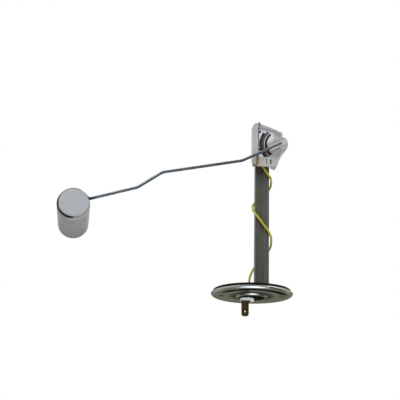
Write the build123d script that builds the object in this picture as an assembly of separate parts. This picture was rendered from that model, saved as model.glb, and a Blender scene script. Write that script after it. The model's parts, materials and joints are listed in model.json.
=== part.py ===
from build123d import *
import math
import os

os.makedirs("parts", exist_ok=True)

# Fuel level sender. Origin on the tank side of the flange's panel, at its centre.
# +Z points up into the tank, and the card faces -Y. Millimetres and degrees.

# Flange, a pressed cap with a boss that stands out on the outer side
flange_radius = 35.0
flange_sheet = 2.0
rim_curve_width = 2.8
rim_height = 0.6
rim_lip_width = 1.7
rim_nose = 0.25
rim_nose_low = 0.0
rim_shoulder = 0.5
rim_round = 0.2
boss_top_radius = 12.2
boss_slope_width = 2.1
boss_depth = 1.4
boss_edge_round = 0.8
bolt_edge_distance = 9.5
bolt_count = 2
bolt_hole_radius = 2.65
bolt_turn = -5.2

# Gasket
gasket_rim_gap = 0.2
gasket_width = 11.3
gasket_thickness = 3.05
gasket_round = 0.4
gasket_hole_clearance = 0.1

# Terminal: blade, insulators, rivet and lug
terminal_x = -3.4
terminal_y = 4.0
outer_insulator_radius = 5.9
outer_insulator_height = 2.0
inner_insulator_radius = 4.8
inner_insulator_height = 1.2
insulator_round = 0.5
spigot_radius = 2.8
insulator_clearance = 0.1
rivet_radius = 1.5
rivet_head_radius = 2.4
rivet_head_height = 1.0
rivet_head_round = 0.6
rivet_inner_head_radius = 2.15
rivet_inner_head_height = 0.7
rivet_inner_head_round = 0.4
rivet_clearance = 0.05
blade_width = 6.3
blade_thickness = 0.8
blade_length = 13.0
blade_shift = -2.15
blade_front = 3.35
blade_hole_radius = 0.65
blade_hole_rise = 4.1
blade_corner = 1.3
tab_right = 2.7
tab_back = 2.9
tab_round = 0.8
lug_radius = 2.6
lug_thickness = 0.6
lug_tail_width = 2.2
lug_tail_height = 5.4
lug_tail_reach = 2.8

# Stem, a channel with its web to the front
stem_width = 12.4
stem_depth = 6.0
stem_sheet = 1.0
stem_x = 8.28
stem_front = -3.0
stem_top = 131.0
stem_edge_round = 0.9
groove_width = 4.4
groove_slope = 0.5
groove_depth = 0.5

# Foot bracket
foot_sheet = 1.5
foot_width = 13.0
foot_end_gap = 6.8
foot_corner = 2.0
foot_tab_height = 11.0
foot_tab_corner = 1.5
foot_tab_clearance = 0.15

# Housing, a fan-shaped moulding with a lobe at the pivot
housing_front = -13.0
housing_back = -3.0
floor_front = -9.7
floor_sheet = 2.0
housing_wall = 1.7
housing_left = -1.7
housing_top = 151.2
housing_bottom = 111.5
left_corner_width = 2.0
left_corner_fall = 2.2
roof_flat = 2.4
roof_end = (15.4, 147.1)
shoulder = (19.4, 145.5)
ear_left = (20.6, 144.4)
ear_right = (22.9, 144.4)
ear_low = (24.4, 142.9)
side_high = (24.4, 138.0)
side_low = (24.9, 127.0)
skirt_high = (24.7, 123.7)
skirt_middle = (21.3, 117.4)
skirt_low = (20.1, 114.4)
skirt_foot = 19.7
foot_corner_width = 2.3
foot_corner_rise = 3.5
corner_round = 1.2
pivot_x = 23.2
pivot_z = 132.5
bearing_radius = 6.2
bearing_front = -12.0
bearing_relief = 0.01
socket_wall = 1.6
socket_round = 1.0
socket_clearance = 0.1
socket_bottom = 122.0
lead_bay_depth = 2.7
lead_bay_width = 9.0
lead_bay_shift = 1.5
lead_bay_roof = 2.0
cut_past = 1.0
skin_back = -11.0
mouth_roof = 116.5
mouth_left_high = (-1.8, 117.8)
mouth_left_low = (-0.4, 114.9)
mouth_right_rise = 1.8
mouth_end = 18.0
slot_back = -11.8
slot_left = 10.2
slot_left_width = 1.1
slot_left_low = 113.2
slot_left_high = 118.4
slot_right = 13.9
slot_right_width = 1.6
slot_right_low = 113.7
slot_right_high = 117.8
back_rib = 1.2
back_rib_low = 133.0
back_rib_high = 141.0

# Tray in the housing, where the card lies and the wiper sweeps
tray_side_gap = 0.6
tray_low_gap = 0.4
tray_high_gap = 1.2
tray_roof_flat = 2.0
tray_roof_end = (17.4, 145.3)
tray_ear = (22.6, 142.6)
tray_side_high = (22.8, 138.0)
tray_side_low = (23.1, 127.0)
tray_skirt = (22.9, 124.2)
tray_foot = 20.4

# Card and its print
card_left = 3.0
card_right = 17.0
card_bottom = 120.2
card_top = 146.6
card_fall = 2.2
card_flat = 1.6
card_thickness = 0.8
ink = 0.08
outer_track_radius = 17.0
outer_track_width = 4.2
outer_track_step = 2.2
outer_low_angle = 45.0
outer_high_angle = 46.0
outer_short_angle = 36.0
inner_track_radius = 13.3
inner_track_width = 2.0
inner_low_angle = 48.0
inner_high_angle = 47.0
pad_inset = 0.35
pad_width = 2.1
pad_height = 1.8
pad_bottom = 143.0
low_pad_width = 1.8
low_pad_bottom = 126.3
link_width = 0.5
link_top = 143.5
pin_x = 3.7
pin_radius = 0.6
pin_length = 2.8
pin_top = 147.3
pin_round = 0.2

# Wire arm, whose inner end is the pivot pin
wire_radius = 1.25
pin_clearance = 0.05
pin_bend = 2.6
pin_tail = 2.0
arm_bend = 8.0
wire_gap = 0.05
elbow_1 = (-11.95, 114.25)
elbow_2 = (-80.96, 99.39)
elbow_3 = (-101.74, 84.59)
loop_entry = (-142.33, 71.96)
entry_bend = 3.0
loop_centre = (-154.9, 67.4)
loop_radius = 12.7
loop_end_angle = 262.0
loop_end_bend = 2.0
loop_end_stub = 2.6
loop_end_run = 2.04

# Washer on the pin
washer_radius = 3.2
washer_thickness = 0.8
washer_gap = 0.3

# Rotor
rotor_gap = 0.3
rotor_plate = 1.05
rotor_hub_radius = 5.4
rotor_hub_height = 3.1
rotor_length = 13.2
rotor_rib = 1.1
rotor_rib_height = 2.5
rotor_rib_setback = 0.9
rotor_round = 4.8
rotor_clip_gap = 0.08
rotor_slot = 2.3
bearing_gap = 0.15
peg_radius = 0.7
peg_height = 0.45
peg_reach = 8.4
peg_side = 2.2
peg_fit = 0.03

# Wiper
spring_sheet = 0.25
spring_start = 5.6
spring_bend = 11.2
finger_width = 1.5
finger_gap = 0.7
finger_reach = 1.0
finger_root = 1.5
finger_slant = 0.1
spring_margin = 0.6
spring_finger_gap = 0.1
yoke_inner = 12.4
yoke_outer = 14.5
yoke_angle = 22.0
yoke_lap = 0.5
contact_radius = 0.6
contact_gap = 0.1
contact_chamfer = 0.15
finger_lift = 0.45

# Float
float_tilt = 9.5
float_length = 51.5
float_cap_radius = 12.9
float_cap_height = 2.0
float_near_radius = 14.1
float_far_radius = 13.2
float_far_round = 7.0
float_shoulder = 1.5
float_shoulder_round = 0.6
float_wall = 1.5
float_groove_width = 2.7
float_groove_gap = 0.1
float_bore_depth = 3.0
float_bore_slope = 3.0
float_bore_step = 0.3
cap_spigot_length = 2.9
cap_spigot_wall = 1.2
cap_fit = 0.05
cap_round = 0.7

# Lead
lead_radius = 0.95
conductor_radius = 0.45
lead_clearance = 0.25
bare_length = 2.4
solder_radius = 1.15

# Worked out from the sizes above
panel_radius = flange_radius - rim_curve_width
gasket_radius = flange_radius - rim_lip_width - gasket_rim_gap
gasket_inner_radius = gasket_radius - gasket_width
foot_half_length = gasket_inner_radius - foot_end_gap
boss_base_radius = boss_top_radius + boss_slope_width
bolt_circle_radius = flange_radius - bolt_edge_distance
rotor_back = housing_front - rotor_gap
rotor_face = rotor_back - rotor_plate
wire_y = rotor_face - wire_radius - wire_gap
card_front = floor_front - card_thickness
stem_left = stem_x - stem_width / 2
stem_right = stem_x + stem_width / 2
boss_face = -boss_depth - flange_sheet
insulator_face = boss_face - outer_insulator_height
inner_face = -boss_depth + inner_insulator_height
arm_angle = math.degrees(math.atan2(pivot_z - elbow_1[1], pivot_x - elbow_1[0]))
arm_frame = Plane(
    origin=(pivot_x, 0, pivot_z),
    x_dir=(-math.cos(math.radians(arm_angle)), 0, -math.sin(math.radians(arm_angle))),
    z_dir=(0, -1, 0),
).location
tilt = math.radians(float_tilt)
loop_y = wire_y - (loop_entry[1] - loop_centre[1]) * math.tan(tilt)
loop_frame = Plane(
    origin=(loop_centre[0], loop_y, loop_centre[1]),
    x_dir=(1, 0, 0),
    z_dir=(0, -math.cos(tilt), math.sin(tilt)),
)
groove_middle = float_cap_height + float_groove_width / 2
float_frame = Plane(
    origin=loop_frame.from_local_coords((0, 0, groove_middle)),
    x_dir=(1, 0, 0),
    z_dir=(0, math.cos(tilt), -math.sin(tilt)),
).location


def front_slab(face, back, front):
    """A flat outline in X and Z, made solid between two places on Y."""
    return extrude(Plane.XZ.offset(-back) * face, back - front)


def box_between(low, high):
    """A block from its lowest to its highest corner."""
    size = [high[i] - low[i] for i in range(3)]
    middle = [(high[i] + low[i]) / 2 for i in range(3)]
    return Pos(*middle) * Box(*size)


def cylinder_on_y(x, z, radius, back, front):
    """A round bar along Y."""
    return front_slab(Pos(x, z) * Circle(radius), back, front)


def cylinder_on_z(x, y, radius, low, high):
    """A round bar along Z."""
    return extrude(Plane.XY.offset(low) * Pos(x, y) * Circle(radius), high - low)


def polygon(points):
    """A flat face from its corners, whichever way round they run."""
    return make_face(Polyline(*points, close=True))


def soften(face, corners, radius):
    """Rounds the corners of a flat face that lie at the given points."""
    chosen = [v for v in face.vertices() if any(abs(v.X - x) + abs(v.Y - y) < 0.01 for x, y in corners)]
    return fillet(chosen, radius)


def bolt_places():
    """Where the bolts pass, in X and Y."""
    step = 360 / bolt_count
    angles = [math.radians(bolt_turn + step * i) for i in range(bolt_count)]
    return [(bolt_circle_radius * math.cos(a), bolt_circle_radius * math.sin(a)) for a in angles]


def make_flange_plate():
    slope = math.atan2(boss_depth, boss_base_radius - boss_top_radius)
    inset = flange_sheet * math.tan(slope / 2)
    lip = flange_radius - rim_lip_width
    under = Polyline(
        (0, -boss_depth),
        (0, boss_face),
        (boss_top_radius, boss_face),
        (boss_base_radius, -flange_sheet),
        (panel_radius, -flange_sheet),
    )
    rim = TangentArc((panel_radius, -flange_sheet), (flange_radius, rim_nose_low), tangent=(1, 0))
    shoulder_radius = flange_radius - rim_shoulder
    over = Polyline(
        (flange_radius, rim_nose_low),
        (flange_radius, rim_nose_low + rim_nose),
        (shoulder_radius, rim_height),
        (lip, rim_height),
        (lip, 0),
        (boss_base_radius - inset, 0),
        (boss_top_radius - inset, -boss_depth),
        (0, -boss_depth),
    )
    face = make_face([under, rim, over])
    face = soften(
        face,
        [
            (boss_top_radius, boss_face),
            (boss_base_radius, -flange_sheet),
            (boss_base_radius - inset, 0),
            (boss_top_radius - inset, -boss_depth),
        ],
        boss_edge_round,
    )
    face = soften(face, [(shoulder_radius, rim_height), (lip, rim_height)], rim_round)
    plate = revolve(Plane.XZ * face, Axis.Z)
    for x, y in bolt_places():
        plate -= cylinder_on_z(x, y, bolt_hole_radius, boss_face, rim_height)
    plate -= cylinder_on_z(terminal_x, terminal_y, spigot_radius + insulator_clearance, boss_face, 0)
    return plate


def make_gasket():
    ring = Circle(gasket_radius) - Circle(gasket_inner_radius)
    ring = extrude(ring, gasket_thickness)
    ring = fillet(ring.edges().filter_by(GeomType.CIRCLE), gasket_round)
    for x, y in bolt_places():
        ring -= cylinder_on_z(x, y, bolt_hole_radius + gasket_hole_clearance, 0, gasket_thickness)
    return ring


def make_outer_insulator():
    washer = cylinder_on_z(terminal_x, terminal_y, outer_insulator_radius, insulator_face, boss_face)
    washer = fillet(washer.edges().group_by(Axis.Z)[0], insulator_round)
    washer += cylinder_on_z(terminal_x, terminal_y, spigot_radius, boss_face, -boss_depth)
    hole = cylinder_on_z(terminal_x, terminal_y, rivet_radius + rivet_clearance, insulator_face, -boss_depth)
    return washer - hole


def make_inner_insulator():
    washer = cylinder_on_z(terminal_x, terminal_y, inner_insulator_radius, -boss_depth, inner_face)
    washer = fillet(washer.edges().group_by(Axis.Z)[-1], insulator_round)
    hole = cylinder_on_z(terminal_x, terminal_y, rivet_radius + rivet_clearance, -boss_depth, inner_face)
    return washer - hole


def make_terminal_blade():
    left = terminal_x + blade_shift - blade_width / 2
    right = left + blade_width
    front = terminal_y - blade_front
    top = insulator_face
    low = top - blade_thickness
    bottom = low - blade_length
    tab = box_between((left, front, low), (terminal_x + tab_right, terminal_y + tab_back, top))
    tab = fillet(tab.edges().filter_by(Axis.Z), tab_round)
    tab -= cylinder_on_z(terminal_x, terminal_y, rivet_radius + rivet_clearance, low, top)
    face = polygon([(left, bottom), (right, bottom), (right, low), (left, low)])
    face = chamfer(face.vertices().group_by(Axis.Y)[0], blade_corner)
    face -= Pos((left + right) / 2, bottom + blade_hole_rise) * Circle(blade_hole_radius)
    blade = front_slab(face, front + blade_thickness, front)
    return tab + blade


def make_terminal_rivet():
    low = insulator_face - blade_thickness
    high = inner_face + lug_thickness
    shank = cylinder_on_z(terminal_x, terminal_y, rivet_radius, low, high)
    foot = cylinder_on_z(terminal_x, terminal_y, rivet_head_radius, low - rivet_head_height, low)
    foot = fillet(foot.edges().group_by(Axis.Z)[0], rivet_head_round)
    head = cylinder_on_z(terminal_x, terminal_y, rivet_inner_head_radius, high, high + rivet_inner_head_height)
    head = fillet(head.edges().group_by(Axis.Z)[-1], rivet_inner_head_round)
    return shank + foot + head


def make_inner_lug():
    low = inner_face
    high = inner_face + lug_thickness
    ring = cylinder_on_z(terminal_x, terminal_y, lug_radius, low, high)
    half = lug_tail_width / 2
    tail_left = terminal_x + lug_tail_reach
    tail_right = tail_left + lug_thickness
    arm = box_between((terminal_x, terminal_y - half, low), (tail_right, terminal_y + half, high))
    tail = box_between(
        (tail_left, terminal_y - half, low), (tail_right, terminal_y + half, low + lug_tail_height)
    )
    hole = cylinder_on_z(terminal_x, terminal_y, rivet_radius + rivet_clearance, low, high)
    return ring + arm + tail - hole


def stem_section():
    """The channel's section: web to the front, two flanges back, one shallow groove."""
    back = stem_front + stem_depth
    inner_left = stem_left + stem_sheet
    inner_right = stem_right - stem_sheet
    web_back = stem_front + stem_sheet
    outer = polygon([(stem_left, stem_front), (stem_right, stem_front), (stem_right, back), (stem_left, back)])
    outer = soften(outer, [(stem_left, stem_front), (stem_right, stem_front)], stem_edge_round)
    inner = polygon([(inner_left, web_back), (inner_right, web_back), (inner_right, back), (inner_left, back)])
    half = groove_width / 2
    narrow = half - groove_slope

    def trough(y):
        return polygon(
            [
                (stem_x - half, y),
                (stem_x + half, y),
                (stem_x + narrow, y + groove_depth),
                (stem_x - narrow, y + groove_depth),
            ]
        )

    return outer - inner - trough(stem_front) + trough(web_back)


def make_stem():
    return extrude(Plane.XY.offset(foot_sheet) * stem_section(), stem_top - foot_sheet)


def make_foot_bracket():
    base = Pos(stem_x, 0) * RectangleRounded(foot_width, 2 * foot_half_length, foot_corner)
    base = extrude(base, foot_sheet)
    half = stem_width / 2 - stem_sheet - foot_tab_clearance
    front = stem_front + stem_sheet + groove_depth
    back = front + foot_sheet
    window = box_between((stem_x - half, back, 0), (stem_x + half, back + foot_tab_height, foot_sheet))
    tab = box_between((stem_x - half, front, 0), (stem_x + half, back, foot_sheet + foot_tab_height))
    tab = fillet(tab.edges().filter_by(Axis.Y).group_by(Axis.Z)[-1], foot_tab_corner)
    return base - window + tab


def housing_outline():
    """The moulding seen from the front: a fan, with a lobe round the pivot."""
    low_left = (housing_left + foot_corner_width, housing_bottom)
    left_low = (housing_left, housing_bottom + foot_corner_rise)
    top_left = (housing_left + left_corner_width, housing_top)
    low_right = (skirt_foot, housing_bottom)
    corners = [
        (housing_left, housing_top - left_corner_fall),
        top_left,
        (housing_left + left_corner_width + roof_flat, housing_top),
        roof_end,
        shoulder,
        ear_left,
        ear_right,
        ear_low,
        side_high,
        side_low,
        skirt_high,
        skirt_middle,
        skirt_low,
        low_right,
        low_left,
        left_low,
    ]
    lobe = Pos(pivot_x, pivot_z) * Circle(bearing_radius)
    return soften(polygon(corners), [low_right, low_left, left_low, top_left], corner_round) + lobe


def tray_outline():
    """The open front of the moulding, where the card lies and the wiper sweeps."""
    left = card_left - tray_side_gap
    low = card_bottom - tray_low_gap
    high = card_top + tray_high_gap
    corners = [
        (left, low),
        (left, high),
        (left + tray_roof_flat, high),
        tray_roof_end,
        tray_ear,
        tray_side_high,
        tray_side_low,
        tray_skirt,
        (tray_foot, low),
    ]
    return polygon(corners)


def mouth_outline(stem_side):
    """Where the moulding is open below, behind its front skin, for the stem and the lead."""
    below = housing_bottom - cut_past
    outside = housing_left - cut_past
    return polygon(
        [
            (outside, below),
            (outside, mouth_left_high[1]),
            mouth_left_high,
            mouth_left_low,
            (stem_left, mouth_roof),
            (stem_side, mouth_roof),
            (stem_side, housing_bottom + mouth_right_rise),
            (mouth_end, housing_bottom),
            (mouth_end, below),
        ]
    )


def make_card_housing(lead_room):
    outline = housing_outline()
    body = front_slab(outline, housing_back, housing_front)
    tray = front_slab(tray_outline(), floor_front, housing_front)
    lobe = Pos(pivot_x, pivot_z) * Circle(bearing_radius)
    bearing = front_slab(lobe, housing_back, bearing_front)
    clear_disc = cylinder_on_y(pivot_x, pivot_z, bearing_radius + bearing_relief, bearing_front, housing_front)
    body = body - tray - clear_disc + bearing
    floor_back = floor_front + floor_sheet
    hollow = offset(outline, -housing_wall)
    body -= front_slab(hollow, housing_back, floor_back)
    body += cylinder_on_y(pivot_x, pivot_z, bearing_radius, housing_back, floor_back)
    for z in (back_rib_low, back_rib_high):
        rib = box_between((housing_left, floor_back, z), (pivot_x, housing_back, z + back_rib))
        body += rib & front_slab(outline, housing_back, floor_back)
    wide = stem_width / 2 + socket_clearance
    back = stem_front + stem_depth + socket_clearance
    pocket_front = stem_front - socket_clearance
    socket = box_between(
        (stem_x - wide - socket_wall, floor_back, socket_bottom),
        (stem_x + wide + socket_wall, back + socket_wall, stem_top + socket_wall),
    )
    socket = fillet(socket.edges().filter_by(Axis.Z), socket_round)
    body += socket
    below = housing_bottom - cut_past
    body -= box_between((stem_x - wide, pocket_front, below), (stem_x + wide, back, stem_top))
    bay_x = stem_x - lead_bay_shift
    body -= box_between(
        (bay_x - lead_bay_width / 2, pocket_front - lead_bay_depth, below),
        (bay_x + lead_bay_width / 2, pocket_front, stem_top - lead_bay_roof),
    )
    for x, width, low, high in (
        (slot_left, slot_left_width, slot_left_low, slot_left_high),
        (slot_right, slot_right_width, slot_right_low, slot_right_high),
    ):
        body -= box_between((x - width / 2, housing_front, low), (x + width / 2, slot_back, high))
    body -= front_slab(mouth_outline(stem_x + wide), back, skin_back)
    body -= cylinder_on_y(pivot_x, pivot_z, wire_radius + pin_clearance, housing_back, bearing_front)
    return body - lead_room


def card_outline():
    return polygon(
        [
            (card_left, card_bottom),
            (card_right, card_bottom),
            (card_right, card_top - card_fall),
            (card_left + card_flat, card_top),
            (card_left, card_top),
        ]
    )


def make_resistor_card():
    return front_slab(card_outline(), floor_front, card_front)


def track_face(inner, outer, low, high):
    """A printed arc about the pivot, from an angle below the horizontal to one above it."""
    reach = outer * 2
    top = math.radians(high)
    bottom = math.radians(low)
    wedge = polygon(
        [
            (0, 0),
            (-reach * math.cos(top), reach * math.sin(top)),
            (-reach, 0),
            (-reach * math.cos(bottom), -reach * math.sin(bottom)),
        ]
    )
    return Pos(pivot_x, pivot_z) * ((Circle(outer) - Circle(inner)) & wedge)


def make_outer_track():
    inner = outer_track_radius - outer_track_width / 2
    outer = outer_track_radius + outer_track_width / 2
    step = inner + outer_track_step
    face = track_face(inner, step, outer_low_angle, outer_high_angle)
    face += track_face(step, outer, outer_low_angle, outer_short_angle)
    return front_slab(face & offset(card_outline(), -pad_inset), card_front, card_front - ink)


def make_inner_track():
    inner = inner_track_radius - inner_track_width / 2
    outer = inner_track_radius + inner_track_width / 2
    face = track_face(inner, outer, inner_low_angle, inner_high_angle)
    return front_slab(face, card_front, card_front - ink)


def make_card_pads():
    left = card_left + pad_inset
    front = card_front - ink
    high = box_between((left, front, pad_bottom), (left + pad_width, card_front, pad_bottom + pad_height))
    low = box_between(
        (left, front, low_pad_bottom), (left + low_pad_width, card_front, low_pad_bottom + pad_height)
    )
    link = box_between((left, front, low_pad_bottom), (left + link_width, card_front, link_top))
    tracks = make_outer_track() + make_inner_track()
    return high + low + link - tracks


def make_card_pin():
    y = card_front - pin_radius - ink
    pin = cylinder_on_z(pin_x, y, pin_radius, pin_top - pin_length, pin_top)
    return fillet(pin.edges().group_by(Axis.Z)[-1], pin_round)


def arm_path():
    """The wire's middle line, from the pin's tail to the stub in the float."""
    pin_end = (pivot_x, housing_back + washer_gap + washer_thickness + pin_tail, pivot_z)
    entry = Vector(loop_entry[0], wire_y, loop_entry[1])
    local = loop_frame.to_local_coords(entry)
    far = math.hypot(local.X, local.Y)
    start = math.degrees(math.atan2(local.Y, local.X) + math.acos(loop_radius / far))
    start_point = loop_frame.from_local_coords(
        (loop_radius * math.cos(math.radians(start)), loop_radius * math.sin(math.radians(start)), 0)
    )
    lead_in = FilletPolyline(
        pin_end,
        (pivot_x, wire_y, pivot_z),
        (elbow_1[0], wire_y, elbow_1[1]),
        (elbow_2[0], wire_y, elbow_2[1]),
        (elbow_3[0], wire_y, elbow_3[1]),
        entry,
        start_point,
        radius=[pin_bend, arm_bend, arm_bend, arm_bend, entry_bend],
    )
    loop = loop_frame.location * CenterArc((0, 0), loop_radius, start, loop_end_angle - start)
    end = math.radians(loop_end_angle)
    tangent = (-math.sin(end), math.cos(end))
    foot = (loop_radius * math.cos(end), loop_radius * math.sin(end))
    corner = (foot[0] + tangent[0] * loop_end_run, foot[1] + tangent[1] * loop_end_run)
    inward = (corner[0] - math.cos(end) * loop_end_stub, corner[1] - math.sin(end) * loop_end_stub)
    hook = loop_frame.location * FilletPolyline(foot, corner, inward, radius=loop_end_bend)
    return Wire([*lead_in.edges(), *loop.edges(), *hook.edges()])


def round_bar(path, radius):
    """A round bar along a path."""
    start = Plane(origin=path @ 0, z_dir=path % 0)
    return sweep(start * Circle(radius), path=path)


def make_rotor(wire_room):
    hub = Pos(0, 0, -bearing_front + bearing_gap) * Cylinder(
        rotor_hub_radius, rotor_hub_height + rotor_gap + rotor_plate, align=(Align.CENTER, Align.CENTER, Align.MIN)
    )
    plate_low = -rotor_back
    plate = box_between(
        (0, -rotor_hub_radius, plate_low), (rotor_length, rotor_hub_radius, plate_low + rotor_plate)
    )
    plate = fillet(plate.edges().filter_by(Axis.Z).group_by(Axis.X)[-1], rotor_round)
    body = hub + plate
    half = wire_radius + rotor_rib
    top = -rotor_face + rotor_rib_height
    body += box_between((0, -half, plate_low), (rotor_length - rotor_rib_setback, half, top))
    body -= box_between((0, -rotor_slot / 2, -wire_y), (rotor_length, rotor_slot / 2, top))
    for side in (1, -1):
        peg = Pos(peg_reach, side * peg_side, -rotor_back - peg_height) * Cylinder(
            peg_radius, peg_height, align=(Align.CENTER, Align.CENTER, Align.MIN)
        )
        body += peg
    return arm_frame * body - wire_room


def finger(side, reach):
    """One finger of the wiper, in the arm's own frame: out flat, down to the card, then flat again."""
    base = -rotor_back
    toe = -card_front + ink + contact_gap + finger_lift
    t = spring_sheet
    points = [
        (spring_bend - finger_root, base),
        (spring_bend, base),
        (reach - finger_reach, toe + t),
        (reach + finger_reach, toe + t),
        (reach + finger_reach, toe),
        (reach - finger_reach - finger_slant, toe),
        (spring_bend - finger_slant, base - t),
        (spring_bend - finger_root, base - t),
    ]
    near = finger_gap / 2
    low, high = sorted((side * near, side * (near + finger_width)))
    profile = Plane.XZ.offset(-high) * polygon(points)
    return extrude(profile, high - low)


def contact_places():
    """Radius and side of each contact."""
    offset_side = (finger_gap + finger_width) / 2
    inner = math.sqrt(inner_track_radius**2 - offset_side**2)
    outer = math.sqrt(outer_track_radius**2 - offset_side**2)
    return [(inner, offset_side), (outer, -offset_side)]


def yoke_face():
    """The spring's curved cross strip, beyond the rotor's end."""
    reach = 2 * yoke_outer
    rise = reach * math.tan(math.radians(yoke_angle))
    wedge = polygon([(0, 0), (reach, rise), (reach, -rise)])
    return (Circle(yoke_outer) - Circle(yoke_inner)) & wedge


def make_wiper_spring():
    base = -rotor_back
    half = finger_gap / 2 + finger_width + spring_margin
    plate = box_between((spring_start, -half, base - spring_sheet), (spring_bend, half, base))
    spring = plate
    for reach, side in contact_places():
        spring += finger(math.copysign(1, side), reach)
    yoke = extrude(Plane.XY.offset(base - spring_sheet) * yoke_face(), spring_sheet)
    fingers_side = finger_gap / 2 + finger_width + spring_finger_gap
    for low, high in ((-half, -fingers_side), (fingers_side, half)):
        yoke += box_between((spring_bend - finger_root, low, base - spring_sheet), (yoke_inner + yoke_lap, high, base))
    spring += yoke
    for side in (1, -1):
        spring -= Pos(peg_reach, side * peg_side, base) * Cylinder(peg_radius + peg_fit, 4 * spring_sheet)
    return arm_frame * spring


def make_wiper_contacts():
    toe = -card_front + ink + contact_gap
    buttons = []
    for reach, side in contact_places():
        button = Pos(reach, side, toe) * Cylinder(
            contact_radius, finger_lift, align=(Align.CENTER, Align.CENTER, Align.MIN)
        )
        button = chamfer(button.edges().group_by(Axis.Z)[0], contact_chamfer)
        buttons.append(arm_frame * button)
    return Compound(children=buttons)


def make_pin_washer():
    low = housing_back + washer_gap
    washer = Circle(washer_radius) - Circle(wire_radius)
    return front_slab(Pos(pivot_x, pivot_z) * washer, low + washer_thickness, low)


def make_float_body(wire_room):
    seat = loop_radius - wire_radius - float_groove_gap
    back_wall = float_cap_height + float_groove_width
    bore = seat - float_wall
    outer = [
        (0, float_cap_height),
        (seat, float_cap_height),
        (seat, back_wall),
        (float_near_radius, back_wall),
        (float_near_radius, back_wall + float_shoulder),
        (float_far_radius, float_length),
        (0, float_length),
    ]
    face = polygon(outer)
    face = soften(face, [(float_far_radius, float_length)], float_far_round)
    face = soften(face, [(float_near_radius, back_wall)], float_shoulder_round)
    inner = [
        (0, float_cap_height),
        (bore, float_cap_height),
        (bore, back_wall + float_bore_depth),
        (float_near_radius - float_wall - float_bore_step, back_wall + float_bore_depth + float_bore_slope),
        (float_far_radius - float_wall, float_length - float_wall),
        (0, float_length - float_wall),
    ]
    far_corner = (float_far_radius - float_wall, float_length - float_wall)
    hollow = soften(polygon(inner), [far_corner], float_far_round - float_wall)
    body = revolve(Plane.XZ * (face - hollow), Axis.Z)
    return float_frame * body - wire_room


def make_float_cap():
    bore = loop_radius - wire_radius - float_groove_gap - float_wall
    spigot = bore - cap_fit
    points = [
        (0, 0),
        (float_cap_radius, 0),
        (float_cap_radius, float_cap_height),
        (spigot, float_cap_height),
        (spigot, float_cap_height + cap_spigot_length),
        (spigot - cap_spigot_wall, float_cap_height + cap_spigot_length),
        (spigot - cap_spigot_wall, float_wall),
        (0, float_wall),
    ]
    face = soften(polygon(points), [(float_cap_radius, 0)], cap_round)
    return float_frame * revolve(Plane.XZ * face, Axis.Z)


# The lead's route: from the card pin over the housing's top edge and down its back, in through it to
# its front, down there and under its lower left edge, in again, out in front of the stem, round to the lug
lead_route = [
    (3.7, -12.45, 148.4),
    (3.8, -12.5, 151.4),
    (4.2, -8.4, 153.2),
    (3.6, -3.8, 152.6),
    (1.6, -1.2, 148.2),
    (0.0, -1.5, 140.5),
    (-0.4, -1.4, 132.4),
    (-0.2, -3.0, 127.0),
    (1.0, -8.4, 125.0),
    (2.2, -12.4, 121.6),
    (2.3, -12.7, 117.2),
    (2.0, -12.6, 113.2),
    (0.4, -12.3, 111.7),
    (-1.1, -10.6, 112.0),
    (-0.9, -7.4, 113.6),
    (1.4, -5.2, 115.2),
    (5.2, -4.8, 115.8),
    (8.6, -4.8, 113.3),
    (12.4, -5.0, 107.0),
    (16.2, -3.6, 103.0),
    (16.7, 2.2, 97.2),
    (14.2, 5.0, 93.4),
    (8.4, 5.2, 87.6),
    (2.8, 5.0, 82.6),
    (0.5, 2.6, 79.2),
    (0.1, -2.6, 73.6),
    (2.0, -5.0, 69.6),
    (7.6, -4.8, 62.8),
    (13.1, -5.0, 55.4),
    (16.4, -3.2, 50.0),
    (17.0, 2.4, 43.2),
    (14.4, 5.0, 37.8),
    (8.2, 5.2, 30.4),
    (2.8, 5.2, 24.6),
    (0.3, 4.6, 19.6),
    (-1.4, 4.0, 14.8),
    (-1.7, 4.0, 10.6),
    (-1.3, 4.0, 6.8),
]


def lead_radii(points):
    """The arc at each corner: as large as the shorter of its two runs allows."""
    radii = []
    for i in range(1, len(points) - 1):
        before = Vector(*points[i]) - Vector(*points[i - 1])
        after = Vector(*points[i + 1]) - Vector(*points[i])
        turn = math.radians(before.get_angle(after))
        radii.append(0.45 * min(before.length, after.length) / math.tan(turn / 2))
    return radii


def lead_path():
    return FilletPolyline(*lead_route, radius=lead_radii(lead_route))


def straight_bar(start, direction, length, radius):
    """A round bar from a point along a direction."""
    return extrude(Plane(origin=start, z_dir=direction) * Circle(radius), length)


def make_lead_conductors(path):
    upper = straight_bar(path @ 0, (path % 0) * -1, bare_length, conductor_radius)
    lower = straight_bar(path @ 1, path % 1, bare_length, conductor_radius)
    return Compound(children=[upper, lower])


def make_solder_joints(path, pin, lug, conductors):
    up_middle = (path @ 0) + (path % 0) * (-bare_length * 0.5)
    low_middle = (path @ 1) + (path % 1) * (bare_length * 0.5)
    blobs = []
    for middle in (up_middle, low_middle):
        blob = Pos(*middle) * Sphere(solder_radius)
        blob = blob - pin - lug
        for wire in conductors.solids():
            blob -= wire
        blobs.append(blob.solids().sort_by(SortBy.VOLUME)[-1])
    return Compound(children=blobs)


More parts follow.
